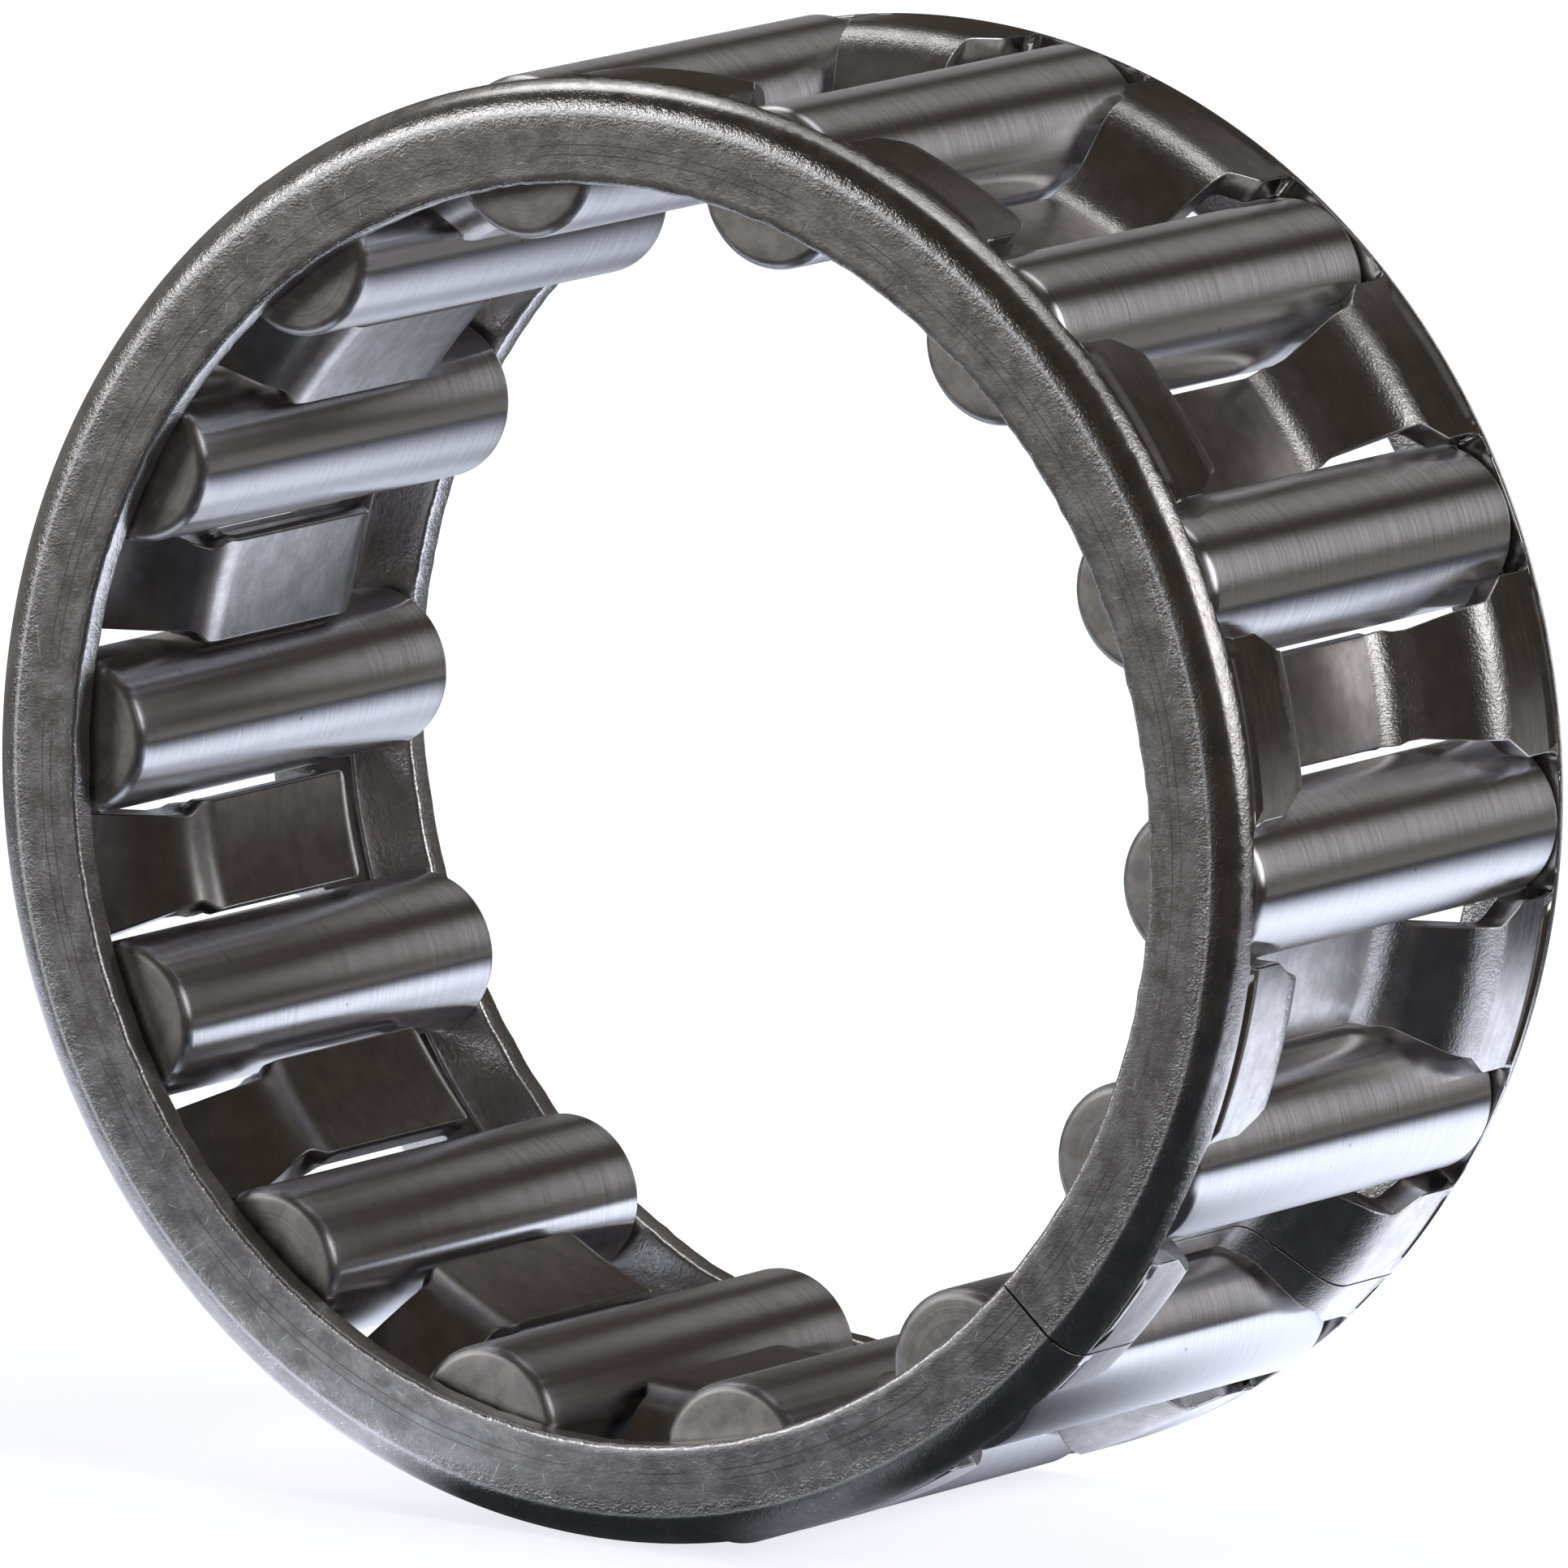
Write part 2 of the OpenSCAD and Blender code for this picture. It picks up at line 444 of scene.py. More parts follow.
def make_object(name, points, faces, material):
    """A smooth-shaded object from points in mm, with its faces turned outwards."""
    mesh = bpy.data.meshes.new(name)
    mesh.from_pydata((np.asarray(points) * MM).tolist(), [], faces)
    mesh.materials.append(material)
    work = bmesh.new()
    work.from_mesh(mesh)
    bmesh.ops.recalc_face_normals(work, faces=work.faces)
    work.to_mesh(mesh)
    work.free()
    mesh.shade_smooth()
    made = bpy.data.objects.new(name, mesh)
    bpy.context.scene.collection.objects.link(made)
    return made


def stand_in(made, node):
    """Makes a visible piece ride on a CAD node and take its place."""
    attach(made, node)
    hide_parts(node)


def make_cage(material):
    sheet = build_cage()
    cage = make_object("cage_pressed", np.vstack(sheet.points), sheet.faces, material)
    flat = cage.data.attributes.new("flat", "FLOAT_VECTOR", "POINT")
    flat.data.foreach_set("vector", np.vstack(sheet.flat).astype(np.float32).ravel())
    weight = cage.data.attributes.new("bevel_weight_edge", "FLOAT", "EDGE")
    for edge in cage.data.edges:
        weight.data[edge.index].value = sheet.edges.get(tuple(sorted(edge.vertices)), 0.0)
    bevel = cage.modifiers.new("edges", "BEVEL")
    bevel.limit_method = "WEIGHT"
    bevel.width = EDGE_BEVEL * MM
    bevel.segments = BEVEL_SEGMENTS
    bevel.use_clamp_overlap = False
    bevel.harden_normals = True
    stand_in(cage, "cage")


# ---- The rollers' meshes
ROLLER_EDGE_R = 0.35
ROLLER_SEGMENTS = 96
FACE_RINGS = 7
EDGE_RINGS = 8
BODY_RINGS = 12


def roller_profile():
    """(radius, y) from the middle of one end face, over the rounded edge, to mid-length."""
    flat_r = ROLLER_R - ROLLER_EDGE_R
    edge_y = ROLLER_L / 2 - ROLLER_EDGE_R
    face = [(flat_r * k / FACE_RINGS, ROLLER_L / 2) for k in range(1, FACE_RINGS)]
    turns = [RIGHT_ANGLE * (1 - k / EDGE_RINGS) for k in range(EDGE_RINGS + 1)]
    edge = [np.array([flat_r, edge_y]) + ROLLER_EDGE_R * on_circle(a) for a in turns]
    body = [(ROLLER_R, edge_y * (1 - k / BODY_RINGS)) for k in range(1, BODY_RINGS + 1)]
    return face + edge + body


def ring_pairs(ring):
    """Numbers of each vertex of a ring and of the next one round."""
    first = ring * ROLLER_SEGMENTS
    return [(first + k, first + (k + 1) % ROLLER_SEGMENTS) for k in range(ROLLER_SEGMENTS)]


def make_roller(name, material):
    half = roller_profile()
    rings = half + [(r, -y) for r, y in half[-2::-1]]
    turns = [FULL_TURN * k / ROLLER_SEGMENTS for k in range(ROLLER_SEGMENTS)]
    points = [(r * math.cos(a), y, r * math.sin(a)) for r, y in rings for a in turns]
    faces = []
    for ring in range(len(rings) - 1):
        faces += [(a, b, b + ROLLER_SEGMENTS, a + ROLLER_SEGMENTS) for a, b in ring_pairs(ring)]
    for centre_y, ring in ((ROLLER_L / 2, 0), (-ROLLER_L / 2, len(rings) - 1)):
        points.append((0.0, centre_y, 0.0))
        faces += [(a, b, len(points) - 1) for a, b in ring_pairs(ring)]
    roller = make_object(name + "_ground", points, faces, material)
    roller.matrix_world = Matrix.Translation(joints[name]["pos_m"])
    stand_in(roller, name)


# ---- Shader nodes
class Graph:
    """Short calls that each add one shader node to a material or world and return its output."""

    def __init__(self, owner):
        owner.use_nodes = True
        self.owner = owner
        self.tree = owner.node_tree
        self.tree.nodes.clear()

    def node(self, kind, *values, out=0, **settings):
        made = self.tree.nodes.new("ShaderNode" + kind)
        for key, value in settings.items():
            setattr(made, key, value)
        for socket, value in zip(made.inputs, values):
            self.feed(socket, value)
        return made.outputs[out] if made.outputs else None

    def feed(self, socket, value):
        if isinstance(value, bpy.types.NodeSocket):
            self.tree.links.new(value, socket)
        elif value is not None:
            socket.default_value = value

    def named(self, kind, inputs):
        """A node whose inputs are given by name or number; returns the node itself."""
        made = self.tree.nodes.new("ShaderNode" + kind)
        for key, value in inputs.items():
            self.feed(made.inputs[key], value)
        return made

    def math(self, operation, *values):
        return self.node("Math", *values, operation=operation)

    def product(self, *values):
        total = values[0]
        for value in values[1:]:
            total = self.math("MULTIPLY", total, value)
        return total

    def highest(self, *values):
        total = values[0]
        for value in values[1:]:
            total = self.math("MAXIMUM", total, value)
        return total

    def scaled(self, vector, *factors):
        return self.node("VectorMath", vector, factors, operation="MULTIPLY")

    def in_mm(self, vector):
        return self.scaled(vector, 1 / MM, 1 / MM, 1 / MM)

    def parts(self, vector):
        """The x, y and z of a vector."""
        made = self.named("SeparateXYZ", {0: vector})
        return list(made.outputs)

    def distance(self, vector, place):
        return self.node("VectorMath", vector, place, operation="DISTANCE", out=1)

    def noise(self, vector, scale, detail, roughness=0.5):
        inputs = {"Vector": vector, "Scale": scale, "Detail": detail, "Roughness": roughness}
        return self.named("TexNoise", inputs).outputs["Fac"]

    def ramp(self, value, low, high, start=0.0, end=1.0):
        """Smooth step: start below low, end above high."""
        made = self.named("MapRange", {
            "Value": value, "From Min": low, "From Max": high, "To Min": start, "To Max": end})
        made.interpolation_type = "SMOOTHSTEP"
        return made.outputs["Result"]

    def band(self, value, low, high, soft):
        """1 between low and high, 0 outside, with soft edges."""
        rise = self.ramp(value, low - soft, low + soft)
        return self.product(rise, self.ramp(value, high - soft, high + soft, 1.0, 0.0))

    def blend(self, factor, a, b):
        """a where factor is 0, b where it is 1."""
        return self.named("Mix", {"Factor": factor, "A": a, "B": b}).outputs["Result"]

    def tint(self, factor, a, b):
        """Colour a where factor is 0, colour b where it is 1."""
        made = self.named("Mix", {"Factor": factor})
        made.data_type = "RGBA"
        colours = [s for s in made.inputs if s.type == "RGBA"]
        for socket, value in zip(colours, (a, b)):
            self.feed(socket, (*value, 1) if isinstance(value, tuple) else value)
        return [s for s in made.outputs if s.type == "RGBA"][0]

    def bump(self, height, distance, strength):
        made = self.named("Bump", {
            "Height": height, "Distance": distance * MM, "Strength": strength})
        return made.outputs["Normal"]

    def metal(self, colour, roughness, normal, anisotropy=0.0, tangent=None):
        """Bare metal as the material's surface; returns the material."""
        made = self.named("BsdfPrincipled", {
            "Base Color": colour, "Metallic": 1.0, "Roughness": roughness, "Normal": normal,
            "Anisotropic": anisotropy, "Tangent": tangent})
        self.node("OutputMaterial", made.outputs["BSDF"])
        return self.owner


# ---- The cage's material
STEEL_DEEP = (0.24, 0.225, 0.215)
STEEL_DARK = (0.36, 0.34, 0.33)
STEEL_MID = (0.48, 0.46, 0.45)
STEEL_LIGHT = (0.80, 0.79, 0.79)
# Marks in random cells: cell size, half-length, half-width and share of cells that have one
SCRATCHES = ((0.7, 0.22, 0.026, 0.6), (3.0, 1.2, 0.022, 0.5))
# Painted glints: light flecks on the corner's foot, in the same kind of random cells, stand in for
# sparkles of light on the peened steel.
GLINT_FLECKS = (0.25, 0.06, 0.028, 0.6)
MARK_SOFT = 0.3
# Noise patterns: scale per mm, detail and roughness, and how they are stretched if they are
WANDER = (2.2, 2.0)
WANDER_BY = 0.5
CLOUD = (0.9, 3.0, 0.7)
SPECKLE = (9.0, 2.0, 0.6)
GRAIN = (12.0, 2.0, 0.65)
COARSE_GRAIN = (4.0, 2.0, 0.6)
STREAK_STRETCH, STREAK = (0.8, 2.6, 1.0), (1.0, 4.0, 0.72)
GRIND_STRETCH, GRIND = (0.25, 14.0, 1.0), (1.0, 2.0, 0.6)
SLOW_STRETCH, SLOW = (0.22, 0.6, 1.0), (1.0, 1.0)
# Depth of the peened grain, its strength on plain, flange and peened steel, and what share of
# that a ground land keeps
GRAIN_DEPTH = 0.022
PLAIN_GRAIN, FLANGE_GRAIN, PEENED_GRAIN, LAND_GRAIN = 0.05, 0.24, 0.85, 0.15
# A drawn groove's half-width at its bottom and at its top, and how far it wanders
GROOVE_HALF = (0.010, 0.034)
GROOVE_WANDER = 0.12
# The part of a noise pattern's range that most of its values fall in
MIDDLE = (0.3, 0.7)


def along_at(y):
    """Distance along the outer face from mid-width to the place where it is at y."""
    rear = face_points[OUTER][:, 1] > 0
    return float(np.interp(y, face_points[OUTER][rear, 1], face_along[OUTER][rear]))


# Where the zones of the outer face start and end, along the sheet from mid-width
FOLD = (along_at(3.4), along_at(4.5))
LAND_BEND = (along_at(5.2), along_at(6.338))
LAND_TO = along_at(CORNER_ARC[1])
CORNER_TO = LAND_TO + CORNER_R * RIGHT_ANGLE
EDGE_FROM = float(CORNER_TO + CORNER_ARC[0] - FLANGE_R - FLANGE_EDGE_R)
GROOVES = (EDGE_FROM - 0.72, EDGE_FROM - 1.02)


def scratches(graph, place, cell, length, width, share):
    """Straight marks, one in each cell of a random pattern, each with its own angle. The value
    is up to 1 on a mark and 0 elsewhere; share is the part of the cells that have one."""
    grid = graph.scaled(place, 1 / cell, 1 / cell, 0.0)
    cells = graph.named("TexVoronoi", {"Vector": grid, "Scale": 1.0})
    cells.voronoi_dimensions = "2D"
    offset = graph.node("VectorMath", grid, cells.outputs["Position"], operation="SUBTRACT")
    chance = graph.parts(cells.outputs["Color"])
    turn = graph.product(chance[0], FULL_TURN)
    lying = graph.node("VectorRotate", offset, None, None, turn, rotation_type="Z_AXIS")
    x, y = (graph.math("ABSOLUTE", part) for part in graph.parts(lying)[:2])
    beside = graph.ramp(y, MARK_SOFT * width / cell, width / cell, 1.0, 0.0)
    inside = graph.ramp(x, MARK_SOFT * length / cell, length / cell, 1.0, 0.0)
    return graph.product(beside, inside, graph.ramp(chance[1], 1.0 - share, 1.0))


def cage_zones(graph, flat):
    """Masks, each from 0 to 1, of the cage's zones."""
    along, depth = graph.parts(flat)[1:]
    away = graph.math("ABSOLUTE", along)
    shift = graph.math("MULTIPLY_ADD", graph.noise(flat, *WANDER), WANDER_BY, -WANDER_BY / 2)
    rough_away = graph.math("ADD", away, shift)
    edge_away = graph.math("MULTIPLY_ADD", shift, 0.2, away)
    outside = graph.ramp(depth, 0.3 * SHEET, 0.6 * SHEET, 1.0, 0.0)

    land = graph.band(rough_away, LAND_BEND[1], LAND_TO + 0.15, 0.05)
    corner = graph.band(away, LAND_TO, CORNER_TO - 0.2, 0.12)
    land_bend = graph.band(rough_away, *LAND_BEND, 0.15)
    fold = graph.band(away, *FOLD, 0.2)
    corner_start = graph.band(rough_away, LAND_TO + 0.2, LAND_TO + 0.62, 0.12)
    corner_foot = graph.band(rough_away, CORNER_TO - 0.75, CORNER_TO + 0.25, 0.25)
    # Painted highlight: a thin band where the corner meets the flange is tinted light and made
    # rougher. It stands in for the highlight line that the corner reflects there.
    highlight_rub = graph.band(away, CORNER_TO - 0.16, CORNER_TO - 0.06, 0.06)
    zones = {
        "away": away,
        "land": graph.product(outside, land),
        "corner": graph.product(outside, corner),
        "flange": graph.ramp(away, CORNER_TO - 0.4, CORNER_TO + 0.1),
        "peel": graph.product(outside, graph.highest(land_bend, fold, corner_start)),
        "foot": graph.product(outside, corner_foot),
        "highlight_rub": graph.product(outside, highlight_rub),
        "edge": graph.ramp(edge_away, EDGE_FROM - 0.03, EDGE_FROM + 0.03),
    }
    foot_and_edge = graph.product(graph.highest(zones["foot"], zones["edge"]), 0.9)
    zones["peened"] = graph.highest(zones["peel"], foot_and_edge)
    return zones


def drawn_grooves(graph, flat, away):
    """Two faint grooves round each flange, which wander slightly and fade in and out."""
    slow = graph.noise(graph.scaled(flat, *SLOW_STRETCH), *SLOW)
    middle = graph.math("SUBTRACT", away, GROOVE_WANDER / 2)
    line = graph.math("MULTIPLY_ADD", slow, GROOVE_WANDER, middle)
    offsets = [graph.math("ABSOLUTE", graph.math("SUBTRACT", line, at)) for at in GROOVES]
    grooves = [graph.ramp(offset, *GROOVE_HALF, 1.0, 0.0) for offset in offsets]
    return graph.product(graph.highest(*grooves), graph.ramp(slow, 0.36, 0.5))


def cage_colour(graph, flat, zones, cloud):
    """Dark scale, worn and scuffed, with painted light: each mask tints what lies under it. The light
    line where the corner meets the flange, the lighter sheared edge and the light flecks on the
    corner's foot are painted highlights and glints.
    """
    flange = zones["flange"]
    speckle = graph.noise(flat, *SPECKLE)
    streak = graph.noise(graph.scaled(flat, *STREAK_STRETCH), *STREAK)
    bright = graph.product(graph.ramp(speckle, 0.60, 0.70), graph.blend(flange, 0.1, 0.4))
    dull = graph.product(graph.ramp(streak, 0.42, 0.68), graph.blend(flange, 0.25, 0.42))
    marks = graph.highest(*[scratches(graph, flat, *sizes) for sizes in SCRATCHES])
    marks = graph.product(marks, graph.blend(flange, 0.3, 1.0))
    # painted glints: light flecks on the corner's foot
    glint_flecks = graph.product(scratches(graph, flat, *GLINT_FLECKS), zones["foot"])
    grooves = drawn_grooves(graph, flat, zones["away"])
    colour = graph.tint(graph.ramp(cloud, *MIDDLE), STEEL_DARK, STEEL_MID)
    for mask, shade in (
            (bright, STEEL_LIGHT),
            (dull, STEEL_DEEP),
            (graph.product(graph.highest(marks, glint_flecks), 0.95), STEEL_LIGHT),
            (graph.product(grooves, 0.9), STEEL_DEEP),
            # painted highlight line where the corner meets the flange
            (graph.product(zones["highlight_rub"], 0.8), STEEL_LIGHT),
            # Painted highlight: the sheared edge is tinted lighter to stand for the bright line of
            # light it catches; its bump and roughness are those of the burr.
            (graph.product(zones["edge"], 0.5), STEEL_LIGHT)):
        colour = graph.tint(mask, colour, shade)
    return colour


def cage_roughness(graph, flat, zones, cloud):
    """Roughness of the plain sheet, which each later zone covers with its own."""
    grind = graph.noise(graph.scaled(flat, *GRIND_STRETCH), *GRIND)
    roughness = 0.27
    for zone, value in (
            ("flange", graph.ramp(cloud, *MIDDLE, 0.28, 0.35)),
            ("land", graph.ramp(grind, *MIDDLE, 0.15, 0.24)),
            ("corner", graph.ramp(cloud, *MIDDLE, 0.16, 0.21)),
            ("peel", 0.30),
            ("highlight_rub", 0.45),
            ("edge", 0.25)):
        roughness = graph.blend(zones[zone], roughness, value)
    return roughness


def cage_normal(graph, flat, zones):
    """Peened grain on the bends and the corner's foot, and a trace of it elsewhere."""
    height = graph.math("ADD", graph.noise(flat, *GRAIN), graph.noise(flat, *COARSE_GRAIN))
    plain = graph.blend(zones["flange"], PLAIN_GRAIN, FLANGE_GRAIN)
    strength = graph.blend(zones["peened"], plain, PEENED_GRAIN)
    strength = graph.product(strength, graph.blend(zones["land"], 1.0, LAND_GRAIN))
    return graph.bump(height, GRAIN_DEPTH, strength)


def cage_material():
    graph = Graph(bpy.data.materials.new("pressed_steel"))
    flat = graph.node("Attribute", out=1, attribute_name="flat")
    zones = cage_zones(graph, flat)
    cloud = graph.noise(flat, *CLOUD)
    colour = cage_colour(graph, flat, zones, cloud)
    roughness = cage_roughness(graph, flat, zones, cloud)
    return graph.metal(colour, roughness, cage_normal(graph, flat, zones))


# ---- The rollers' material
ROLLER_DARK = (0.54, 0.525, 0.53)
ROLLER_LIGHT = (0.64, 0.63, 0.645)
END_DEEP = (0.24, 0.22, 0.205)
END_DARK = (0.36, 0.335, 0.315)
END_LIGHT = (0.48, 0.45, 0.42)
PIT_DARK = (0.12, 0.11, 0.11)
PIT_SHIFT = (7.3, 1.7, 3.1)
PITS, PIT_EDGE = (3.4, 1.0, 0.4), (0.77, 0.81)
GRIND_LINES = 16.0
TURNING_RINGS = 9.0
ROLLER_CLOUD = (1.6, 3.0, 0.6)
# Each roller takes its noise from its own place, up to this far from the others'
APART = 40.0
SIDE_ROUGH = (0.245, 0.265)
END_ROUGH = (0.42, 0.52)
RING_DEPTH = 0.006


def roller_colour(graph, local, end, lines, rings, cloud):
    pits = graph.noise(graph.node("VectorMath", local, PIT_SHIFT, operation="ADD"), *PITS)
    side = graph.tint(graph.ramp(lines, *MIDDLE), ROLLER_DARK, ROLLER_LIGHT)
    face = graph.tint(graph.ramp(cloud, 0.35, 0.65), END_DARK, END_LIGHT)
    face = graph.tint(graph.product(graph.ramp(rings, 0.5, 0.7), 0.35), face, END_DEEP)
    colour = graph.tint(end, side, face)
    return graph.tint(graph.product(graph.ramp(pits, *PIT_EDGE), 0.7), colour, PIT_DARK)


def roller_material():
    """Ground side with its reflections drawn out along the roller, and matt turned end faces."""
    graph = Graph(bpy.data.materials.new("ground_steel"))
    local = graph.in_mm(graph.node("TexCoord", out=3))
    x, y, z = graph.parts(local)
    across = graph.math("ADD", graph.product(x, x), graph.product(z, z))
    radius = graph.math("SQRT", across)
    around = graph.math("ARCTAN2", x, z)
    offset = graph.product(graph.node("ObjectInfo", out=5), APART)
    wall = graph.node("CombineXYZ", graph.product(around, 0.6), graph.math("ADD", y, offset), offset)
    end = graph.ramp(graph.math("ABSOLUTE", y), ROLLER_L / 2 - 0.06, ROLLER_L / 2 - 0.01)

    lines = graph.noise(graph.scaled(wall, 1.0, GRIND_LINES, 1.0), 1.0, 3.0, 0.65)
    face = graph.node("CombineXYZ", graph.product(radius, TURNING_RINGS), offset, 0.0)
    rings = graph.noise(face, 1.0, 2.0, 0.6)
    cloud = graph.noise(local, *ROLLER_CLOUD)
    colour = roller_colour(graph, local, end, lines, rings, cloud)
    side_rough = graph.ramp(lines, *MIDDLE, *SIDE_ROUGH)
    roughness = graph.blend(end, side_rough, graph.ramp(cloud, *MIDDLE, *END_ROUGH))
    normal = graph.bump(rings, RING_DEPTH, graph.product(end, 0.8))
    axis = graph.node("CombineXYZ", 0.0, 1.0, 0.0)
    return graph.metal(colour, roughness, normal, graph.blend(end, 1.0, 0.0), axis)


# ---- Camera: a long lens from far away, so that the two flanges look nearly the same size
IMAGE_SIZE = 1932
CAMERA_AZIMUTH = math.radians(31.745)
CAMERA_ELEVATION = math.radians(10.297)
CAMERA_ROLL = math.radians(2.787)
CAMERA_DISTANCE = 47.592 * CAGE_R * MM
CAMERA_RIGHT = 0.0055 * CAGE_R * MM
CAMERA_UP = -0.0126 * CAGE_R * MM
AXIS_TURN = math.radians(1.2)
SENSOR = 36.0
LENS = 43089.6 * SENSOR / IMAGE_SIZE
CLIP = (0.1, 20)


def camera_pose():
    az, el, roll = CAMERA_AZIMUTH, CAMERA_ELEVATION, CAMERA_ROLL
    back = Vector((math.sin(az) * math.cos(el), -math.cos(az) * math.cos(el), math.sin(el)))
    level = Vector((math.cos(az), math.sin(az), 0))
    upward = back.cross(level)
    right = math.cos(roll) * level + math.sin(roll) * upward
    up = math.cos(roll) * upward - math.sin(roll) * level
    pose = Matrix((right, up, back)).transposed().to_4x4()
    pose.translation = back * CAMERA_DISTANCE + right * CAMERA_RIGHT + up * CAMERA_UP
    return Matrix.Rotation(AXIS_TURN, 4, "Y") @ pose


def add_camera():
    data = bpy.data.cameras.new("camera")
    data.sensor_width = SENSOR
    data.lens = LENS
    data.clip_start, data.clip_end = CLIP
    camera = bpy.data.objects.new("camera", data)
    camera.matrix_world = camera_pose()
    bpy.context.scene.collection.objects.link(camera)
    bpy.context.scene.camera = camera
    return camera


def add_rig(camera):
    """Empty that stands at the origin for the scene's own camera and follows it round."""
    rig = bpy.data.objects.new("rig", None)
    bpy.context.scene.collection.objects.link(rig)
    bpy.context.view_layer.update()
    rig.parent = camera
    rig.matrix_parent_inverse = camera.matrix_world.inverted()
    return rig


# ---- Floor. Places are in mm from the bearing's middle, as the rig sees them, and each fade
# is where it starts and ends, with the light at its two ends where it isn't 0 and 1.
FLOOR_SIZE = 6.0
FLOOR_COLOUR = (0.6, 0.61, 0.62, 1)
FLOOR_GLOW_TINT = (0.93, 0.96, 1.0, 1)
FLOOR_GLOW = 0.80
FLOOR_LIGHT = 1.8
FLOOR_TINT = (0.80, 0.86, 1.0, 1)
FLOOR_SEEN = (90.0, 140.0)
LIT_MIDDLE = (-10.0, 22.0, 0.0)
LIT_FADE = (38.0, 115.0)
SIDE_FADE = (-25.0, 15.0, 0.7, 1.25)
FRONT_SLANT = -0.25
FRONT_FADE = (-23.0, -12.0)
REAR_SLANT = 0.35
REAR_FADE = (40.0, 60.0, 1.0, 0.06)
SHADES = (
    ((25.0, -11.0, 0.0), (13.0, 27.0)),
    ((-15.0, 56.0, 0.0), (7.0, 17.0, 0.12, 1.0)),
)
# The shade where the bearing stands on the floor
CONTACT = (-0.5, 0.0, 0.0)
CONTACT_HALF = 13.0
CONTACT_FADE = (4.5, 11.0)
# The least light that the steel reflects from anywhere
AMBIENT = 0.052


def floor_light(graph, x, y):
    """How bright the steel sees each place of the floor, from 0 to 1."""
    place = graph.node("CombineXYZ", x, y, 0.0)
    left = graph.math("MINIMUM", x, 0.0)
    front = graph.math("MULTIPLY_ADD", left, FRONT_SLANT, y)
    rear = graph.math("MULTIPLY_ADD", left, REAR_SLANT, y)
    beyond = graph.math("SUBTRACT", graph.math("ABSOLUTE", y), CONTACT_HALF)
    contact = graph.node("CombineXYZ", x, graph.math("MAXIMUM", beyond, 0.0), 0.0)
    from_lit = graph.distance(place, LIT_MIDDLE)
    fades = [
        graph.ramp(from_lit, *LIT_FADE, 1.0, 0.0),
        graph.ramp(x, *SIDE_FADE),
        graph.ramp(front, *FRONT_FADE),
        graph.ramp(rear, *REAR_FADE),
    ]
    fades += [graph.ramp(graph.distance(place, middle), *fade) for middle, fade in SHADES]
    fades.append(graph.ramp(graph.distance(contact, CONTACT), *CONTACT_FADE))
    return graph.product(*fades), from_lit


def floor_material(rig):
    """The camera sees the floor as plain and nearly white; the steel sees it with its light."""
    graph = Graph(bpy.data.materials.new("floor"))
    x, y = graph.parts(graph.in_mm(graph.node("TexCoord", out=3, object=rig)))[:2]
    lit, from_lit = floor_light(graph, x, y)
    strength = graph.math("MULTIPLY_ADD", lit, FLOOR_LIGHT, AMBIENT)
    glossy = graph.node("Emission", FLOOR_TINT, strength)
    near = graph.ramp(from_lit, *FLOOR_SEEN, 1.0, 0.0)
    reflected = graph.node("MixShader", near, graph.node("BsdfTransparent"), glossy)
    shaded = graph.node("BsdfDiffuse", FLOOR_COLOUR, 0.5)
    glow = graph.node("Emission", FLOOR_GLOW_TINT, FLOOR_GLOW)
    seen = graph.node("AddShader", shaded, glow)
    first_ray = graph.node("LightPath", out=0)
    graph.node("OutputMaterial", graph.node("MixShader", first_ray, reflected, seen))
    return graph.owner


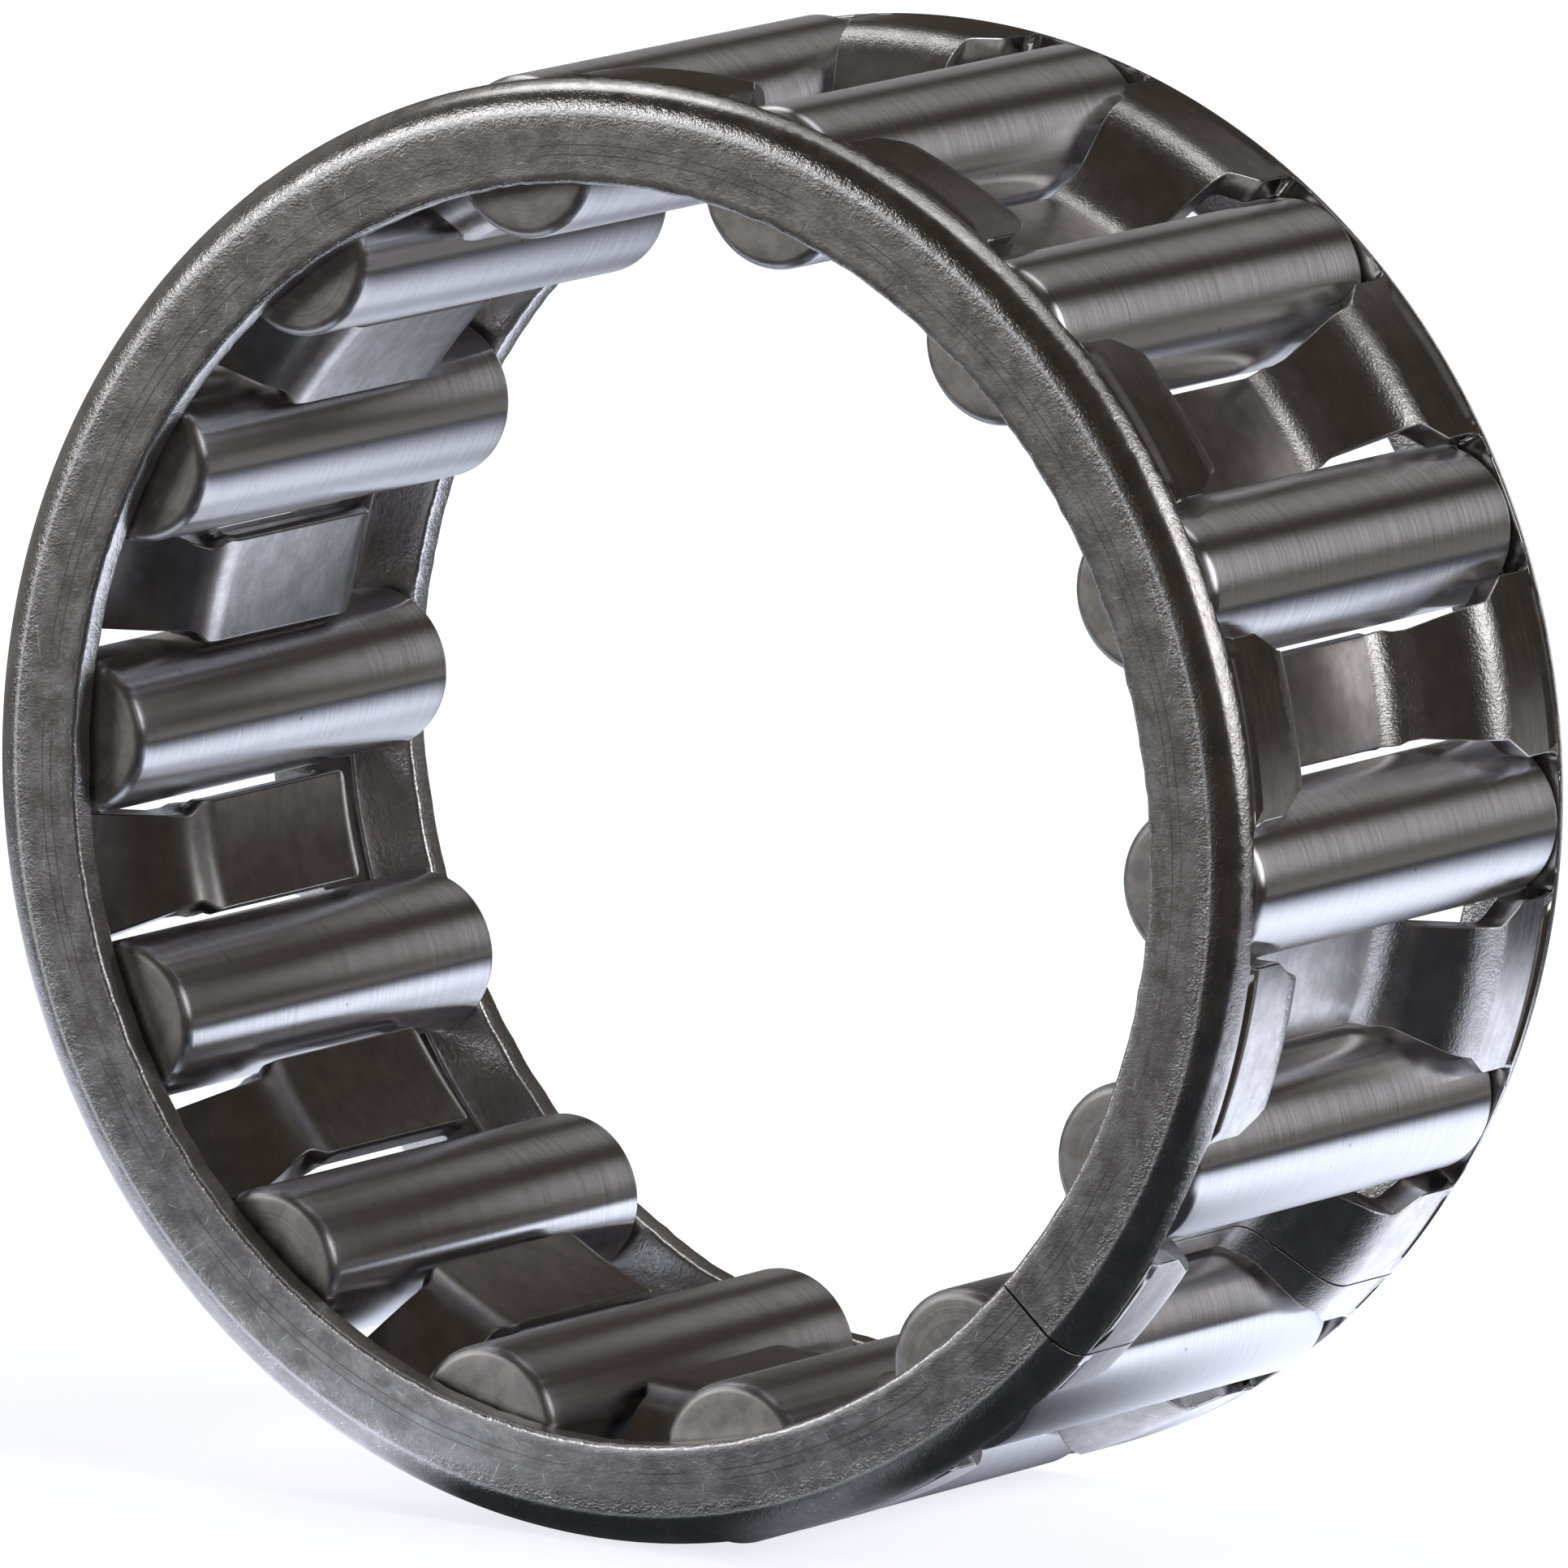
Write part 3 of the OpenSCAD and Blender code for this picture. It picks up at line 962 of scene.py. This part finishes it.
def add_floor(rig):
    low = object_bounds()[0]
    signs = ((-1, -1), (1, -1), (1, 1), (-1, 1))
    corners = [(i * FLOOR_SIZE, j * FLOOR_SIZE, 0) for i, j in signs]
    mesh = bpy.data.meshes.new("floor")
    mesh.from_pydata(corners, [], [(0, 1, 2, 3)])
    mesh.materials.append(floor_material(rig))
    floor = bpy.data.objects.new("floor", mesh)
    floor.location.z = low[2]
    bpy.context.scene.collection.objects.link(floor)
    floor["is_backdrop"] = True


# ---- Light. Each soft box or white surface round the object: azimuth, elevation, inner and
# outer half-angle in degrees, strength and colour.
SOFTBOXES = {
    "backdrop": (122, -9, 5, 10, 1.7, (0.95, 0.97, 1.0)),
    "backdrop_side": (101, -6, 9, 16, 2.2, (0.93, 0.96, 1.0)),
    "front_box": (229, 12, 8, 16, 4.2, (0.93, 0.96, 1.0)),
    "front_wall": (257, 3, 3, 13, 0.3, (0.95, 0.97, 1.0)),
    "right_box": (6, 24, 12, 25, 3.7, (0.97, 0.98, 1.0)),
    "right_low": (58, -12, 6, 16, 0.35, (0.97, 0.98, 1.0)),
    "top_box": (45, 76, 9, 22, 1.8, (0.97, 0.98, 1.0)),
    "left_box": (165, 56, 8, 21, 2.4, (0.96, 0.98, 1.0)),
    "left_wall": (175, 5, 20, 50, 0.2, (0.98, 0.99, 1.0)),
    "rear_wall": (90, 36, 4, 16, 0.12, (0.98, 0.99, 1.0)),
}
DARK_TINT = (1.22, 1.0, 0.82)
BACKGROUND = (1.0, 1.0, 1.0, 1.0)
BACKGROUND_LIGHT = 1.1


def direction(azimuth, elevation):
    """Unit vector; azimuth is counted from +X towards +Y, elevation from level, in degrees."""
    a, e = math.radians(azimuth), math.radians(elevation)
    return Vector((math.cos(e) * math.cos(a), math.cos(e) * math.sin(a), math.sin(e)))


def cosine(degrees):
    return math.cos(math.radians(degrees))


def add_light(camera):
    """Dark studio with soft boxes that are fixed to the camera, on a white background."""
    world = bpy.data.worlds.new("studio")
    bpy.context.scene.world = world
    graph = Graph(world)
    ray = graph.node("NewGeometry", out=4)
    seen = graph.node("VectorTransform", ray, vector_type="VECTOR",
                      convert_from="WORLD", convert_to="CAMERA")
    to_camera = camera.matrix_world.to_3x3().inverted()
    total = tuple(AMBIENT * c for c in DARK_TINT)
    for azimuth, elevation, inner, outer, strength, colour in SOFTBOXES.values():
        aim = to_camera @ direction(azimuth, elevation)
        opposite = (-aim.x, -aim.y, aim.z)
        dot = graph.node("VectorMath", seen, opposite, operation="DOT_PRODUCT", out=1)
        level = graph.ramp(dot, cosine(outer), cosine(inner), 0.0, strength)
        lit = graph.node("VectorMath", colour, None, None, level, operation="SCALE")
        total = graph.node("VectorMath", total, lit, operation="ADD")
    studio = graph.node("Background", total, 1.0)
    plain = graph.node("Background", BACKGROUND, BACKGROUND_LIGHT)
    first_ray = graph.node("LightPath", out=0)
    graph.node("OutputWorld", graph.node("MixShader", first_ray, studio, plain))


# ---- The scene
make_cage(cage_material())
ground_steel = roller_material()
for name in sorted(joints):
    make_roller(name, ground_steel)
studio_camera = add_camera()
add_floor(add_rig(studio_camera))
add_light(studio_camera)
bpy.context.scene.view_settings.view_transform = "Standard"
